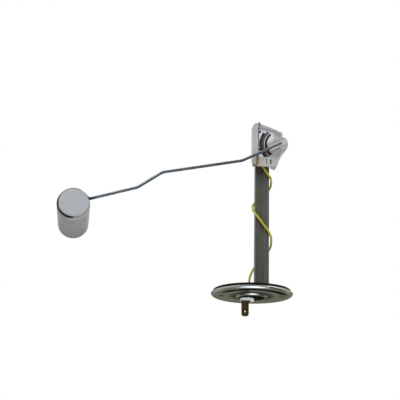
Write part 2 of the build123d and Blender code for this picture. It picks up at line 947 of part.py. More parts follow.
def main():
    path = lead_path()
    lead = round_bar(path, lead_radius)
    room_radius = lead_radius + lead_clearance
    lead_room = round_bar(path, room_radius)
    lead_room += straight_bar(path @ 0, (path % 0) * -1, bare_length + solder_radius, room_radius)
    wire = arm_path()
    float_arm = round_bar(wire, wire_radius)
    wire_room = round_bar(wire, wire_radius + rotor_clip_gap)
    pin = make_card_pin()
    lug = make_inner_lug()
    conductors = make_lead_conductors(path)
    nodes = {
        "flange_plate": make_flange_plate(),
        "gasket": make_gasket(),
        "outer_insulator": make_outer_insulator(),
        "inner_insulator": make_inner_insulator(),
        "terminal_blade": make_terminal_blade(),
        "terminal_rivet": make_terminal_rivet(),
        "inner_lug": lug,
        "foot_bracket": make_foot_bracket(),
        "stem": make_stem(),
        "card_housing": make_card_housing(lead_room),
        "resistor_card": make_resistor_card(),
        "outer_track": make_outer_track(),
        "inner_track": make_inner_track(),
        "card_pads": make_card_pads(),
        "card_pin": pin,
        "signal_lead": lead,
        "lead_conductors": conductors,
        "solder_joints": make_solder_joints(path, pin, lug, conductors),
        "rotor": make_rotor(wire_room),
        "wiper_spring": make_wiper_spring(),
        "wiper_contacts": make_wiper_contacts(),
        "float_arm": float_arm,
        "pin_washer": make_pin_washer(),
        "float_body": make_float_body(wire_room),
        "float_cap": make_float_cap(),
    }
    for name, shape in nodes.items():
        export_step(shape, f"parts/{name}.step")
    print("lead radii", [round(r, 1) for r in lead_radii(lead_route)])
    expected = math.pi * lead_radius**2 * path.length
    print("lead length", round(path.length, 1), "volume", round(lead.volume, 1), "against", round(expected, 1))
    print("arm wire length", round(wire.length, 1))


main()
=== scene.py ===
import json
import math

import bpy
from mathutils import Matrix, Vector


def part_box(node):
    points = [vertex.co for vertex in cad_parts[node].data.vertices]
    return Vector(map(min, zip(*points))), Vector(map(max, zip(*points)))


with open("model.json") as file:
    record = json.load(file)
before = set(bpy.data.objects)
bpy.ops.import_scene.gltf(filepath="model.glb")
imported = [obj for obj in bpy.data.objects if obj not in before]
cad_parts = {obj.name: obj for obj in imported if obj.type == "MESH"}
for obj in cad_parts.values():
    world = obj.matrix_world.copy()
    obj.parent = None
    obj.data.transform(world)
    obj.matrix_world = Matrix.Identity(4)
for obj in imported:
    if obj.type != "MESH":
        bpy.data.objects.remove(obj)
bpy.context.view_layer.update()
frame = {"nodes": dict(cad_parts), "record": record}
mmPerMetre = 1000


print("frame loaded,", len(frame["nodes"]), "nodes")


# Camera
cameraLook = {
    "place": (-0.13573, -0.82809, -0.17375),  # metres, a little below the flange
    "yaw": 6.17,  # degrees, to the right
    "pitch": 17.02,  # degrees, up
    "roll": 1.29,
    "lens": 90.0,  # mm
    "sensor": 36.0,
    "clip": (0.01, 20),  # metres
}


def makeCamera(look):
    yaw, pitch, roll = (math.radians(look[key]) for key in ("yaw", "pitch", "roll"))
    right = Vector((math.cos(yaw), -math.sin(yaw), 0))
    ahead = Vector((math.sin(yaw) * math.cos(pitch), math.cos(yaw) * math.cos(pitch), math.sin(pitch)))
    up = right.cross(ahead)
    turnedRight = right * math.cos(roll) + up * math.sin(roll)
    turnedUp = up * math.cos(roll) - right * math.sin(roll)
    turn = Matrix((turnedRight, turnedUp, -ahead)).transposed().to_4x4()
    data = bpy.data.cameras.new("photoCamera")
    data.lens = look["lens"]
    data.sensor_width = look["sensor"]
    data.clip_start, data.clip_end = look["clip"]
    camera = bpy.data.objects.new("photoCamera", data)
    camera.matrix_world = Matrix.Translation(look["place"]) @ turn
    bpy.context.scene.collection.objects.link(camera)
    bpy.context.scene.camera = camera


makeCamera(cameraLook)
bpy.context.scene.view_settings.view_transform = "Standard"
print("camera placed")


# Node graphs as expressions
class Value:
    # a socket of a graph, so that an expression on values adds its Math nodes
    def __init__(self, graph, link):
        self.graph = graph
        self.link = link

    def __add__(self, other):
        return self.graph.maths("ADD", self, other)

    def __sub__(self, other):
        return self.graph.maths("SUBTRACT", self, other)

    def __rsub__(self, other):
        return self.graph.maths("SUBTRACT", other, self)

    def __mul__(self, other):
        return self.graph.maths("MULTIPLY", self, other)

    __radd__ = __add__
    __rmul__ = __mul__


class Graph:
    def __init__(self, tree):
        self.tree = tree

    def node(self, kind, settings=None, inputs=None, output=0):
        made = self.tree.nodes.new(kind)
        for name, value in (settings or {}).items():
            setattr(made, name, value)
        for name, value in (inputs or {}).items():
            self.feed(made.inputs[name], value)
        return Value(self, made.outputs[output])

    def feed(self, socket, value):
        if isinstance(value, Value):
            self.tree.links.new(value.link, socket)
        else:
            socket.default_value = value

    def maths(self, operation, *values):
        return self.node("ShaderNodeMath", {"operation": operation}, dict(enumerate(values)))

    def vectors(self, operation, *values, output=0):
        return self.node("ShaderNodeVectorMath", {"operation": operation}, dict(enumerate(values)), output)

    def mix(self, share, first, second):
        # a Mix node has its colours in inputs 6 and 7 and gives the mixed one in output 2
        return self.node("ShaderNodeMix", {"data_type": "RGBA"}, {0: share, 6: first, 7: second}, 2)

    def ease(self, value, low, high, start=0.0, end=1.0):
        # from start to end as value goes from low to high, with soft ends
        inputs = {"Value": value, "From Min": low, "From Max": high, "To Min": start, "To Max": end}
        return self.node("ShaderNodeMapRange", {"interpolation_type": "SMOOTHSTEP"}, inputs)

    def band(self, value, rise, fall):
        # a mask that comes over the pair of values in rise and goes over the pair in fall
        return self.ease(value, *rise) * self.ease(value, *fall)


class Surface(Graph):
    # a material on one Principled shader, with places in millimetres of the part's own frame
    def __init__(self, name, **constants):
        self.material = bpy.data.materials.new(name)
        self.material.use_nodes = True
        super().__init__(self.material.node_tree)
        self.shader = self.tree.nodes["Principled BSDF"]
        for key, value in constants.items():
            self.shader.inputs[key.replace("_", " ")].default_value = value
        metres = self.node("ShaderNodeTexCoord", output="Object")
        self.place = self.vectors("MULTIPLY", metres, [mmPerMetre] * 3)

    def along(self, letter):
        return self.node("ShaderNodeSeparateXYZ", inputs={0: self.place}, output=letter)

    def reach(self, centre, direction):
        # how far a place lies from a centre along a direction
        offset = self.vectors("SUBTRACT", self.place, centre)
        return self.vectors("DOT_PRODUCT", offset, direction, output="Value")

    def fromLine(self, centre, axis):
        # how far a place lies from the line through a centre along an axis
        offset = self.vectors("SUBTRACT", self.place, centre)
        return self.vectors("LENGTH", self.vectors("CROSS_PRODUCT", offset, axis), output="Value")

    def grain(self, size, detail=2.0, stretch=(1, 1, 1), shift=(0, 0, 0)):
        # noise from 0 to 1 whose lumps are about size across, times stretch
        scale = [1 / (size * length) for length in stretch]
        spot = self.vectors("ADD", self.vectors("MULTIPLY", self.place, scale), shift)
        return self.node("ShaderNodeTexNoise", inputs={"Vector": spot, "Scale": 1.0, "Detail": detail})

    def specks(self, size):
        spot = self.vectors("MULTIPLY", self.place, [1 / size] * 3)
        return self.node("ShaderNodeTexVoronoi", inputs={"Vector": spot, "Scale": 1.0})

    def bump(self, height, depth):
        inputs = {"Height": height, "Distance": depth / mmPerMetre, "Strength": 1.0}
        return self.node("ShaderNodeBump", inputs=inputs, output="Normal")

    def finish(self, **links):
        for key, value in links.items():
            self.feed(self.shader.inputs[key.replace("_", " ")], value)
        return self.material


def between(share, limits):
    # from the first limit to the second as share goes from 0 to 1
    first, second = limits
    return share * (second - first) + first


def rgb(red, green, blue):
    return (red, green, blue, 1.0)


def middleX(node):
    low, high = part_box(node)
    return mmPerMetre * (low[0] + high[0]) / 2


def dress(material, *nodes):
    for name in nodes:
        slots = frame["nodes"][name].data.materials
        slots.clear()
        slots.append(material)


# Light
lightLook = {
    "sky": rgb(1, 1, 1),
    "ambient": 0.42,  # the sky's strength for matt surfaces, where the camera and reflections see 1
    "aim": (-0.06, 0.0, 0.07),
    "lamps": {
        # place in metres, size, watts
        "keyLamp": ((-0.55, -0.85, 1.15), 0.45, 9.0),
        "fillLamp": ((0.95, -0.75, 0.25), 0.80, 2.6),
        "backLamp": ((0.30, 1.10, 0.80), 0.80, 4.0),
        "rimLamp": ((-0.006, -0.046, -0.235), 0.19, 0.38),
    },
    # only reflections see it, and it draws the bright line on the flange's rim
    "reflectedOnly": {"rimLamp": (0.82, 0.92, 1.12)},
}


def makeWorld(look):
    world = bpy.data.worlds.new("studio")
    world.use_nodes = True
    bpy.context.scene.world = world
    graph = Graph(world.node_tree)
    camera, glossy, clear = (
        graph.node("ShaderNodeLightPath", output=ray)
        for ray in ("Is Camera Ray", "Is Glossy Ray", "Is Transmission Ray")
    )
    seen = graph.maths("MAXIMUM", camera, graph.maths("MAXIMUM", glossy, clear))
    sky = world.node_tree.nodes["Background"]
    graph.feed(sky.inputs["Color"], look["sky"])
    graph.feed(sky.inputs["Strength"], look["ambient"] + (1 - look["ambient"]) * seen)


def makeLamps(look):
    aim = Vector(look["aim"])
    for name, (place, size, watts) in look["lamps"].items():
        data = bpy.data.lights.new(name, "AREA")
        data.shape = "DISK"
        data.size = size
        data.energy = watts
        lamp = bpy.data.objects.new(name, data)
        lamp.location = place
        lamp.rotation_euler = (aim - Vector(place)).to_track_quat("-Z", "Y").to_euler()
        lamp.visible_camera = False
        if name in look["reflectedOnly"]:
            lamp.visible_diffuse = False
            data.color = look["reflectedOnly"][name]
        bpy.context.scene.collection.objects.link(lamp)


# Floor, and dark cloths that only reflections see
floorLook = {
    "height": -0.27,  # metres
    "half": 4.0,
    "color": rgb(0.86, 0.86, 0.86),
    "pale": rgb(0.90, 0.90, 0.90),
    "cloud": {"size": 260, "detail": 2},
}
clothLook = {
    "cloths": {
        # place and half sizes in metres, turn about X in degrees
        "clothBehindCamera": ((-0.10, -1.15, 0.10), (0.80, 0.45), 90),
        "clothBelow": ((0.05, 0.0, -0.25), (0.30, 0.26), 0),
    },
    "color": rgb(0.012, 0.012, 0.012),
    "faded": rgb(0.02, 0.02, 0.02),
    "weave": {"size": 30, "detail": 3},
    "unseenBy": ("visible_camera", "visible_diffuse", "visible_shadow", "visible_transmission"),
}


def makePanel(name, wide, high, material):
    # a flat rectangle with these half sizes
    mesh = bpy.data.meshes.new(name)
    corners = [(-wide, -high, 0), (wide, -high, 0), (wide, high, 0), (-wide, high, 0)]
    mesh.from_pydata(corners, [], [(0, 1, 2, 3)])
    mesh.materials.append(material)
    panel = bpy.data.objects.new(name, mesh)
    bpy.context.scene.collection.objects.link(panel)
    return panel


def makeFloor(look):
    paint = Surface("paleFloor", Roughness=0.9, Specular_IOR_Level=0.1)
    color = paint.mix(paint.grain(**look["cloud"]), look["color"], look["pale"])
    floor = makePanel("studioFloor", look["half"], look["half"], paint.finish(Base_Color=color))
    floor.location.z = look["height"]


def makeCloths(look):
    paint = Surface("blackCloth", Roughness=0.95, Specular_IOR_Level=0.0)
    color = paint.mix(paint.grain(**look["weave"]), look["color"], look["faded"])
    paint.finish(Base_Color=color)
    for name, (place, (wide, high), turn) in look["cloths"].items():
        cloth = makePanel(name, wide, high, paint.material)
        cloth.location = place
        cloth.rotation_euler.x = math.radians(turn)
        for rays in look["unseenBy"]:
            setattr(cloth, rays, False)


makeWorld(lightLook)
makeLamps(lightLook)
makeFloor(floorLook)
makeCloths(clothLook)
print("light and floor made")

# In the looks below, sizes, places and bump depths are in millimetres. A pair holds where a colour starts
# and where it is full, in noise from 0 to 1 or in places, and two pairs hold where it comes and where it
# goes. A share is the most that it takes. The pair named roughness holds two values of Roughness.

# Flange
flangeLook = {
    "bare": rgb(0.54, 0.53, 0.43),
    "edgeTint": rgb(0.25, 0.25, 0.225),
    "dull": rgb(0.40, 0.395, 0.32),
    "dullFrom": (0.35, 0.7),
    "bright": rgb(0.64, 0.64, 0.59),
    "ringPitch": 1.1,  # faint rings left by the press tool
    "ringWander": 3,
    "ringShare": 0.18,
    "sheenRadii": (32.5, 34.6),  # painted sheen: the rim's outer band is painted brighter
    "wearAndSheenShare": 0.35,
    # painted shade and dark reflection, laid on the boss, its crease and the front of the rim's crease
    "paintedShade": rgb(0.012, 0.012, 0.011),
    "bossRadii": (11.9, 10.6),
    "bossShare": 0.97,
    "bossCreaseRadii": ((12.6, 14.6), (22.0, 14.8)),
    "bossCreaseShare": 0.70,
    "rimCreaseRadii": ((23.0, 26.5), (31.6, 30.2)),
    "rimCreaseFront": (-4, -18),  # along Y
    "rimCreaseShare": 0.97,
    "blotch": {"size": 9, "detail": 4},
    "fine": {"size": 0.7, "detail": 3},
    "roughness": (0.28, 0.38),
    "roughFrom": (0.3, 0.7),
    "bumpDepth": 0.005,
    "fineHeight": 0.3,
    "ringHeight": 0.15,
}


def flangeSurface(look):
    paint = Surface("dullZincPlate", Metallic=1.0, Specular_Tint=look["edgeTint"])
    blotch = paint.grain(**look["blotch"])
    fine = paint.grain(**look["fine"])
    radius = paint.fromLine((0, 0, 0), (0, 0, 1))
    turns = radius * (2 * math.pi / look["ringPitch"]) + blotch * look["ringWander"]
    rings = paint.maths("SINE", turns) * 0.5 + 0.5
    # painted sheen on the rim's outer band
    wearAndSheen = paint.ease(radius, *look["sheenRadii"])
    color = paint.mix(paint.ease(blotch, *look["dullFrom"]), look["bare"], look["dull"])
    color = paint.mix(rings * look["ringShare"] + wearAndSheen * look["wearAndSheenShare"], color, look["bright"])
    # painted shade and dark reflection on the boss, in the crease round it and in the front of the rim's
    # crease
    boss = paint.ease(radius, *look["bossRadii"])
    bossCrease = paint.band(radius, *look["bossCreaseRadii"])
    rimCrease = paint.band(radius, *look["rimCreaseRadii"])
    rimCrease = rimCrease * paint.ease(paint.along("Y"), *look["rimCreaseFront"])
    paintedShade = boss * look["bossShare"] + bossCrease * look["bossCreaseShare"]
    paintedShade = paintedShade + rimCrease * look["rimCreaseShare"]
    color = paint.mix(paintedShade, color, look["paintedShade"])
    rough = paint.ease(blotch, *look["roughFrom"], *look["roughness"])
    normal = paint.bump(fine * look["fineHeight"] + rings * look["ringHeight"], look["bumpDepth"])
    return paint.finish(Base_Color=color, Roughness=rough, Normal=normal)


dress(flangeSurface(flangeLook), "flange_plate")

# Gasket
gasketLook = {
    "rubber": rgb(0.004, 0.004, 0.004),
    "dusty": rgb(0.012, 0.012, 0.011),
    "dustyFrom": (0.45, 0.75),
    "cloud": {"size": 6, "detail": 3},
    "fine": {"size": 0.45, "detail": 3},
    "roughness": (0.55, 0.75),
    "bumpDepth": 0.03,
}


def rubberSurface(look):
    paint = Surface("blackRubber", Specular_IOR_Level=0.12)
    cloud = paint.grain(**look["cloud"])
    return paint.finish(
        Base_Color=paint.mix(paint.ease(cloud, *look["dustyFrom"]), look["rubber"], look["dusty"]),
        Roughness=between(cloud, look["roughness"]),
        Normal=paint.bump(paint.grain(**look["fine"]), look["bumpDepth"]),
    )


dress(rubberSurface(gasketLook), "gasket")

# Terminal
insulatorLook = {
    "body": rgb(0.74, 0.83, 0.80),
    "shade": rgb(0.68, 0.77, 0.73),
    "shadeFrom": (0.35, 0.7),
    "cloud": {"size": 2.6, "detail": 4},
    "fine": {"size": 0.3},
    "roughness": (0.32, 0.47),
    "bumpDepth": 0.008,
    "glow": 0.22,  # painted glow: emission that stands in for light coming through it
}
bladeLook = {
    "dull": rgb(0.155, 0.115, 0.032),
    "tarnish": rgb(0.095, 0.068, 0.020),
    "tarnishFrom": (0.3, 0.7),
    "bright": rgb(0.34, 0.26, 0.10),
    "brightFrom": (0.55, 0.85),
    "brightShare": 0.5,
    "cloud": {"size": 2.4, "detail": 4},
    "lines": {"size": 0.35, "detail": 3, "stretch": (1, 1, 14)},
    "roughness": (0.22, 0.47),
    "bumpDepth": 0.01,
}
tinLook = {
    "tin": rgb(0.42, 0.42, 0.40),
    "dull": rgb(0.26, 0.26, 0.25),
    "dullFrom": (0.35, 0.7),
    "cloud": {"size": 1.1, "detail": 4},
    "roughness": (0.18, 0.48),
    "bumpDepth": 0.015,
}


def insulatorSurface(look):
    # painted glow: the insulator emits its own colour
    paint = Surface("whiteInsulator", Coat_Weight=0.2, Coat_Roughness=0.3, Emission_Strength=look["glow"])
    cloud = paint.grain(**look["cloud"])
    color = paint.mix(paint.ease(cloud, *look["shadeFrom"]), look["body"], look["shade"])
    return paint.finish(
        Base_Color=color,
        Emission_Color=color,
        Roughness=between(cloud, look["roughness"]),
        Normal=paint.bump(paint.grain(**look["fine"]), look["bumpDepth"]),
    )


def bladeSurface(look):
    paint = Surface("terminalBrass", Metallic=0.55)
    cloud = paint.grain(**look["cloud"])
    lines = paint.grain(**look["lines"])
    color = paint.mix(paint.ease(cloud, *look["tarnishFrom"]), look["dull"], look["tarnish"])
    color = paint.mix(paint.ease(lines, *look["brightFrom"]) * look["brightShare"], color, look["bright"])
    return paint.finish(
        Base_Color=color,
        Roughness=between(lines, look["roughness"]),
        Normal=paint.bump(lines, look["bumpDepth"]),
    )


def tinSurface(name, metallic, look):
    paint = Surface(name, Metallic=metallic)
    cloud = paint.grain(**look["cloud"])
    return paint.finish(
        Base_Color=paint.mix(paint.ease(cloud, *look["dullFrom"]), look["tin"], look["dull"]),
        Roughness=between(cloud, look["roughness"]),
        Normal=paint.bump(cloud, look["bumpDepth"]),
    )


dress(insulatorSurface(insulatorLook), "outer_insulator", "inner_insulator")
dress(bladeSurface(bladeLook), "terminal_blade", "terminal_rivet")
dress(tinSurface("tinPlate", 0.9, tinLook), "inner_lug", "lead_conductors", "card_pin")
print("flange, gasket and terminal finished")

# Stem and its bracket
stemLook = {
    # painted shade: the stem's left half is painted darker than its right
    "left": rgb(0.112, 0.119, 0.084),
    "right": rgb(0.160, 0.162, 0.137),
    "rightFrom": (-4, 5),  # beside the stem's middle
    "dark": rgb(0.082, 0.087, 0.070),
    "darkFrom": (0.42, 0.75),
    "darkShare": 0.7,
    "blue": rgb(0.096, 0.101, 0.108),
    "blueFrom": (0.40, 0.62),
    "blueShare": 0.8,
    "scratch": rgb(0.26, 0.26, 0.235),
    "scratchFrom": (0.62, 0.8),
    "scratchShare": 0.18,
    # the shallow groove is darker, with a brown tinge lower down
    "grooveShift": -0.6,  # from the stem's middle
    "grooveHalf": (0.3, 1.3),
    "grooveDarkHeights": (45, 70),
    "grooveDarkShare": 0.55,
    "rust": rgb(0.150, 0.112, 0.080),
    "rustFrom": (0.5, 0.7),
    "rustHeights": (70, 50),
    "rustShare": 0.5,
    "rolled": {"size": 0.5, "detail": 4, "stretch": (1, 1, 26)},
    "cloud": {"size": 7, "detail": 4, "stretch": (1, 1, 2.2)},
    "streak": {"size": 1.4, "detail": 3, "stretch": (1, 3, 45)},
    "tinge": {"size": 1.6, "detail": 3, "stretch": (1, 1, 5), "shift": (0.7, 1.4, 2.1)},
    "roughness": (0.34, 0.55),
    "roughFrom": (0.3, 0.7),
    "bumpDepth": 0.012,
}


def stemSurface(look):
    paint = Surface("rolledZincPlate", Metallic=0.7)
    across = paint.along("X") - middleX("stem")
    height = paint.along("Z")
    rolled = paint.grain(**look["rolled"])
    cloud = paint.grain(**look["cloud"])
    streak = paint.grain(**look["streak"])
    tinge = paint.grain(**look["tinge"])
    # painted shade, darker on the left half of the stem
    color = paint.mix(paint.ease(across, *look["rightFrom"]), look["left"], look["right"])
    color = paint.mix(paint.ease(cloud, *look["darkFrom"]) * look["darkShare"], color, look["dark"])
    color = paint.mix(paint.ease(streak, *look["blueFrom"]) * look["blueShare"], color, look["blue"])
    beside = paint.maths("ABSOLUTE", across - look["grooveShift"])
    groove = 1 - paint.ease(beside, *look["grooveHalf"])
    darkGroove = groove * paint.ease(height, *look["grooveDarkHeights"])
    color = paint.mix(darkGroove * look["grooveDarkShare"], color, look["dark"])
    rust = groove * paint.ease(tinge, *look["rustFrom"]) * paint.ease(height, *look["rustHeights"])
    color = paint.mix(rust * look["rustShare"], color, look["rust"])
    scratched = paint.ease(rolled, *look["scratchFrom"])
    color = paint.mix(scratched * look["scratchShare"], color, look["scratch"])
    uneven = (cloud + rolled) * 0.5
    rough = paint.ease(uneven, *look["roughFrom"], *look["roughness"])
    return paint.finish(Base_Color=color, Roughness=rough, Normal=paint.bump(rolled, look["bumpDepth"]))


dress(stemSurface(stemLook), "stem", "foot_bracket")

# Housing
nylonLook = {
    "body": rgb(0.362, 0.362, 0.365),
    "shade": rgb(0.312, 0.312, 0.317),
    "shadeFrom": (0.35, 0.7),
    "warm": rgb(0.36, 0.35, 0.33),
    "warmFrom": (0.55, 0.8),
    "warmShare": 0.35,
    # painted light: the tray's floor and walls are painted lighter, standing in for light from the white
    # card
    "recess": rgb(0.41, 0.41, 0.42),
    "recessDepths": ((-12.7, -11.0), (-9.2, -9.5)),
    "recessLeft": (1.6, 2.6),
    "recessBottom": (119.3, 119.9),
    # the backs of the slots are painted in painted shade, in the colours of what shows through the real
    # ones, steel and a dim gap
    "slots": (
        {"middle": 13.9, "half": 0.8, "low": 113.7, "high": 117.8, "behind": rgb(0.135, 0.125, 0.085)},
        {"middle": 10.2, "half": 0.55, "low": 113.2, "high": 118.4, "behind": rgb(0.21, 0.205, 0.19)},
    ),
    "slotDepths": (-12.9, -12.4),
    "slotSides": (0.15, -0.1),  # from the slot's edge
    "slotSoft": 0.3,
    "cloud": {"size": 8, "detail": 3},
    "flow": {"size": 2.2, "detail": 4, "stretch": (1, 1, 3)},
    "roughness": (0.34, 0.54),
    "bumpDepth": 0.02,
    "glow": 0.30,  # painted glow: emission that stands in for light coming through it
}


def nylonSurface(look):
    # painted glow: the housing emits its own colour
    paint = Surface("whiteNylon", Specular_IOR_Level=0.4, Emission_Strength=look["glow"])
    across, depth, height = (paint.along(letter) for letter in "XYZ")
    cloud = paint.grain(**look["cloud"])
    flow = paint.grain(**look["flow"])
    color = paint.mix(paint.ease(cloud, *look["shadeFrom"]), look["body"], look["shade"])
    color = paint.mix(paint.ease(flow, *look["warmFrom"]) * look["warmShare"], color, look["warm"])
    # painted light on the tray's floor and walls
    recess = paint.band(depth, *look["recessDepths"])
    recess = recess * paint.ease(across, *look["recessLeft"]) * paint.ease(height, *look["recessBottom"])
    color = paint.mix(recess, color, look["recess"])
    # painted shade on the slot backs, as the steel and the gap seen through them
    soft = look["slotSoft"]
    for slot in look["slots"]:
        side = paint.maths("ABSOLUTE", across - slot["middle"]) - slot["half"]
        shown = paint.ease(side, *look["slotSides"]) * paint.ease(depth, *look["slotDepths"])
        low, high = slot["low"], slot["high"]
        shown = shown * paint.band(height, (low - soft, low + soft), (high + soft, high - soft))
        color = paint.mix(shown, color, slot["behind"])
    return paint.finish(
        Base_Color=color,
        Emission_Color=color,
        Roughness=between(flow, look["roughness"]),
        Normal=paint.bump(cloud, look["bumpDepth"]),
    )


dress(nylonSurface(nylonLook), "card_housing")

# Card and its print
pivot = frame["record"]["behaviour"]["joints"][0]
pivotCentre = [mmPerMetre * value for value in pivot["pos_m"]]
pivotAxis = pivot["axis"]
cardLook = {
    "ceramic": rgb(0.76, 0.79, 0.84),
    "shade": rgb(0.68, 0.71, 0.76),
    "shadeFrom": (0.4, 0.8),
    "cloud": {"size": 5, "detail": 3},
    "dotSize": 0.5,
    "dotEdge": (0.05, 0.25),
    "roughness": (0.30, 0.42),
    "bumpDepth": 0.004,
}
inkLook = {
    "ink": rgb(0.008, 0.008, 0.009),
    "grey": rgb(0.030, 0.030, 0.031),
    "greyFrom": (0.4, 0.75),
    "greyShare": 0.4,
    "wornHalf": (0.25, 0.75),  # beside the radius on which a contact runs
    "wearAndSheenShare": 0.3,
    "pale": rgb(0.085, 0.085, 0.078),
    "paleSoft": 0.2,
    "fine": {"size": 0.25, "detail": 3},
    "roughness": (0.62, 0.42),
    "bumpDepth": 0.010,
    # radii from the pivot, of the contact's run and of the paler print within
    "outer": {"wornRadius": 17.0, "paleRadius": 16.9},
    "inner": {"wornRadius": 13.3, "paleRadius": 12.0},
}


def ceramicSurface(look):
    paint = Surface("whiteCeramic", Coat_Weight=0.15, Coat_Roughness=0.2)
    cloud = paint.grain(**look["cloud"])
    dots = paint.ease(paint.specks(look["dotSize"]), *look["dotEdge"])
    return paint.finish(
        Base_Color=paint.mix(paint.ease(cloud, *look["shadeFrom"]), look["ceramic"], look["shade"]),
        Roughness=between(cloud, look["roughness"]),
        Normal=paint.bump(dots, look["bumpDepth"]),
    )


def inkSurface(look, wornRadius, paleRadius):
    # thick film print, burnished where a contact runs
    paint = Surface("printedInk", Specular_IOR_Level=0.3)
    fine = paint.grain(**look["fine"])
    radius = paint.fromLine(pivotCentre, pivotAxis)
    wearAndSheen = 1 - paint.ease(paint.maths("ABSOLUTE", radius - wornRadius), *look["wornHalf"])
    grey = paint.ease(fine, *look["greyFrom"]) * look["greyShare"] + wearAndSheen * look["wearAndSheenShare"]
    color = paint.mix(grey, look["ink"], look["grey"])
    soft = look["paleSoft"]
    color = paint.mix(paint.ease(radius, paleRadius + soft, paleRadius - soft), color, look["pale"])
    return paint.finish(
        Base_Color=color,
        Roughness=between(wearAndSheen, look["roughness"]),
        Normal=paint.bump(fine, look["bumpDepth"]),
    )


dress(ceramicSurface(cardLook), "resistor_card")
dress(inkSurface(inkLook, **inkLook["outer"]), "outer_track")
dress(inkSurface(inkLook, **inkLook["inner"]), "inner_track", "card_pads")
print("stem, housing and card finished")

# Lead and its solder
leadLook = {
    "yellow": rgb(0.52, 0.49, 0.022),
    "shade": rgb(0.44, 0.40, 0.018),
    "shadeFrom": (0.35, 0.75),
    # painted shade: the lead is painted darker and amber in the housing's front groove
    "amber": rgb(0.275, 0.162, 0.002),
    "amberHeights": ((108, 112), (131, 127)),
    "amberFront": (-5, -8),  # along Y
    # darker olive at the top beside the pin, and painted shade on the right side of the lead there
    "olive": rgb(0.17, 0.155, 0.022),
    "oliveHeights": (146.8, 148.0),
    "oliveFront": (-6, -8),
    "oliveShare": 0.7,
    "paintedSideShade": rgb(0.022, 0.020, 0.014),
    "sideShadeRight": (3.4, 4.2),  # along X
    "cloud": {"size": 3, "detail": 3},
    "fine": {"size": 0.3},
    "roughness": (0.36, 0.51),
    "bumpDepth": 0.01,
    "softness": 0.05,  # how much light goes in, and how deep in metres
    "softDepth": 0.001,
}
solderLook = {
    "tin": rgb(0.42, 0.42, 0.40),
    "dull": rgb(0.26, 0.26, 0.25),
    "dullFrom": (0.3, 0.7),
    "cloud": {"size": 0.6, "detail": 3},
    "roughness": (0.15, 0.35),
    "bumpDepth": 0.06,
}


def leadSurface(look):
    soft = {"Subsurface_Weight": look["softness"], "Subsurface_Scale": look["softDepth"]}
    paint = Surface("yellowInsulation", **soft)
    across, front, height = (paint.along(letter) for letter in "XYZ")
    cloud = paint.grain(**look["cloud"])
    color = paint.mix(paint.ease(cloud, *look["shadeFrom"]), look["yellow"], look["shade"])
    # painted shade in the housing's front groove
    amber = paint.band(height, *look["amberHeights"]) * paint.ease(front, *look["amberFront"])
    color = paint.mix(amber, color, look["amber"])
    top = paint.ease(height, *look["oliveHeights"]) * paint.ease(front, *look["oliveFront"])
    color = paint.mix(top * look["oliveShare"], color, look["olive"])
    # painted shade on the right side of the lead's top
    color = paint.mix(top * paint.ease(across, *look["sideShadeRight"]), color, look["paintedSideShade"])
    return paint.finish(
        Base_Color=color,
        Roughness=between(cloud, look["roughness"]),
        Normal=paint.bump(paint.grain(**look["fine"]), look["bumpDepth"]),
    )


dress(leadSurface(leadLook), "signal_lead")
dress(tinSurface("solderJoint", 0.95, solderLook), "solder_joints")
print("lead finished")

# Rotor and wiper
rotorLook = {
    "body": rgb(0.345, 0.345, 0.348),
    "shade": rgb(0.305, 0.305, 0.308),
    "shadeFrom": (0.35, 0.7),
    # painted highlight on the lips of the wire's channel, and painted shadow in the creases beside them
    "across": (-0.460, 0, 0.888),  # unit vector across the channel
    "lip": rgb(0.40, 0.40, 0.405),
    "lipHalf": (2.6, 2.2),
    "creaseShadow": rgb(0.18, 0.18, 0.18),
    "creaseHalf": ((2.3, 2.7), (3.7, 2.9)),
    "creaseShare": 0.8,
    "cloud": {"size": 3.2, "detail": 3},
    "fine": {"size": 0.3},
    "roughness": (0.36, 0.56),
    "bumpDepth": 0.012,
    "glow": 0.25,  # painted glow: emission that stands in for light coming through it
}
wiperLook = {
    "copper": rgb(0.110, 0.024, 0.016),
    "dull": rgb(0.055, 0.014, 0.011),
    "dullFrom": (0.35, 0.7),
    "lines": {"size": 0.25, "detail": 3, "stretch": (8, 1, 4)},
    "roughness": (0.25, 0.50),
    "bumpDepth": 0.008,
}
contactLook = {
    "bright": rgb(0.5, 0.5, 0.48),
    "dull": rgb(0.3, 0.3, 0.29),
    "fine": {"size": 0.2, "detail": 3},
    "roughness": (0.15, 0.35),
    "bumpDepth": 0.006,
}


def rotorSurface(look):
    # painted glow: the rotor emits its own colour
    paint = Surface("rotorPlastic", Specular_IOR_Level=0.45, Emission_Strength=look["glow"])
    cloud = paint.grain(**look["cloud"])
    color = paint.mix(paint.ease(cloud, *look["shadeFrom"]), look["body"], look["shade"])
    side = paint.maths("ABSOLUTE", paint.reach(pivotCentre, look["across"]))
    # painted highlight on the lips and painted shadow in the creases
    color = paint.mix(paint.ease(side, *look["lipHalf"]), color, look["lip"])
    creaseShadow = paint.band(side, *look["creaseHalf"])
    color = paint.mix(creaseShadow * look["creaseShare"], color, look["creaseShadow"])
    return paint.finish(
        Base_Color=color,
        Emission_Color=color,
        Roughness=between(cloud, look["roughness"]),
        Normal=paint.bump(paint.grain(**look["fine"]), look["bumpDepth"]),
    )


def wiperSurface(look):
    paint = Surface("springCopper", Metallic=0.9)
    lines = paint.grain(**look["lines"])
    return paint.finish(
        Base_Color=paint.mix(paint.ease(lines, *look["dullFrom"]), look["copper"], look["dull"]),
        Roughness=between(lines, look["roughness"]),
        Normal=paint.bump(lines, look["bumpDepth"]),
    )


def contactSurface(look):
    paint = Surface("contactButton", Metallic=1.0)
    fine = paint.grain(**look["fine"])
    return paint.finish(
        Base_Color=paint.mix(fine, look["bright"], look["dull"]),
        Roughness=between(fine, look["roughness"]),
        Normal=paint.bump(fine, look["bumpDepth"]),
    )


